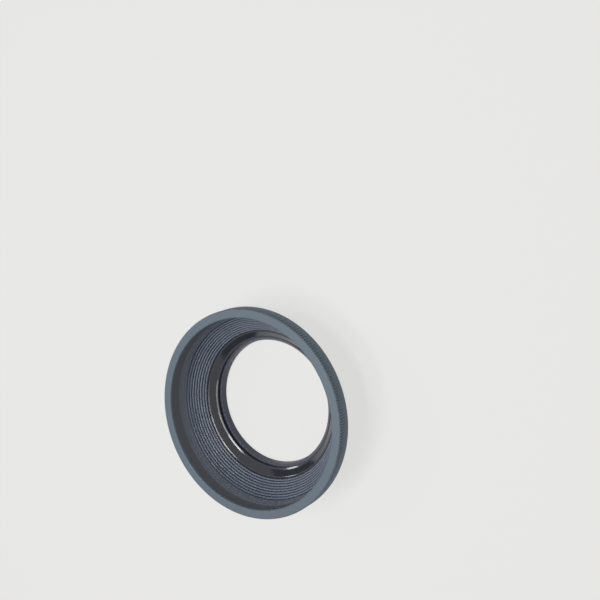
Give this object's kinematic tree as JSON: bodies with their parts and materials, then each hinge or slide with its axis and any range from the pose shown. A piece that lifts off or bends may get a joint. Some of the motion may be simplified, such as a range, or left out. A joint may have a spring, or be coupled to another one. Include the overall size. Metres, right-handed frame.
{
  "type": "lens hood",
  "caption": "Foldable rubber lens hood: screw-in metal mount and retaining ring, stepped rubber wall that turns inside out, and a knurled front rim.",
  "frame": {"origin": "on the optical axis, in the plane of the thread's rear end, which the hood stands on", "axes": "+Z along the optical axis, from the thread towards the mouth; X and Y square to it, with no preferred direction"},
  "size_m": [0.11, 0.11, 0.031],
  "materials": {
    "anodised_aluminium": "turned aluminium, satin black anodised",
    "enamelled_aluminium": "turned aluminium, stove-enamelled gloss black",
    "rubber": "matt moulded slate-grey rubber"
  },
  "bodies": {
    "mount": {"mount_ring": "anodised_aluminium", "retaining_ring": "enamelled_aluminium", "rubber_collar": "rubber"},
    "rib_1": {"fold_rib_01": "rubber"},
    "rib_2": {"fold_rib_02": "rubber"},
    "rib_3": {"fold_rib_03": "rubber"},
    "rib_4": {"fold_rib_04": "rubber"},
    "rib_5": {"fold_rib_05": "rubber"},
    "rib_6": {"fold_rib_06": "rubber"},
    "rim": {"front_rim": "rubber"}
  },
  "joints": [
    {"name": "hood_fold", "type": "slide", "parent": "mount", "child": "rim", "axis": [0, 0, -1], "range_m": [0, 0.014]},
    {"name": "rib_1_flex", "type": "slide", "parent": "mount", "child": "rib_1", "axis": [0, 0, -1], "range_m": [0, 0.002]},
    {"name": "rib_2_flex", "type": "slide", "parent": "mount", "child": "rib_2", "axis": [0, 0, -1], "range_m": [0, 0.004]},
    {"name": "rib_3_flex", "type": "slide", "parent": "mount", "child": "rib_3", "axis": [0, 0, -1], "range_m": [0, 0.006]},
    {"name": "rib_4_flex", "type": "slide", "parent": "mount", "child": "rib_4", "axis": [0, 0, -1], "range_m": [0, 0.008]},
    {"name": "rib_5_flex", "type": "slide", "parent": "mount", "child": "rib_5", "axis": [0, 0, -1], "range_m": [0, 0.01]},
    {"name": "rib_6_flex", "type": "slide", "parent": "mount", "child": "rib_6", "axis": [0, 0, -1], "range_m": [0, 0.012]}
  ],
  "couplings": [
    {"joint": "rib_1_flex", "follows": "hood_fold", "ratio": 0.14286},
    {"joint": "rib_2_flex", "follows": "hood_fold", "ratio": 0.28571},
    {"joint": "rib_3_flex", "follows": "hood_fold", "ratio": 0.42857},
    {"joint": "rib_4_flex", "follows": "hood_fold", "ratio": 0.57143},
    {"joint": "rib_5_flex", "follows": "hood_fold", "ratio": 0.71428},
    {"joint": "rib_6_flex", "follows": "hood_fold", "ratio": 0.85714}
  ]
}
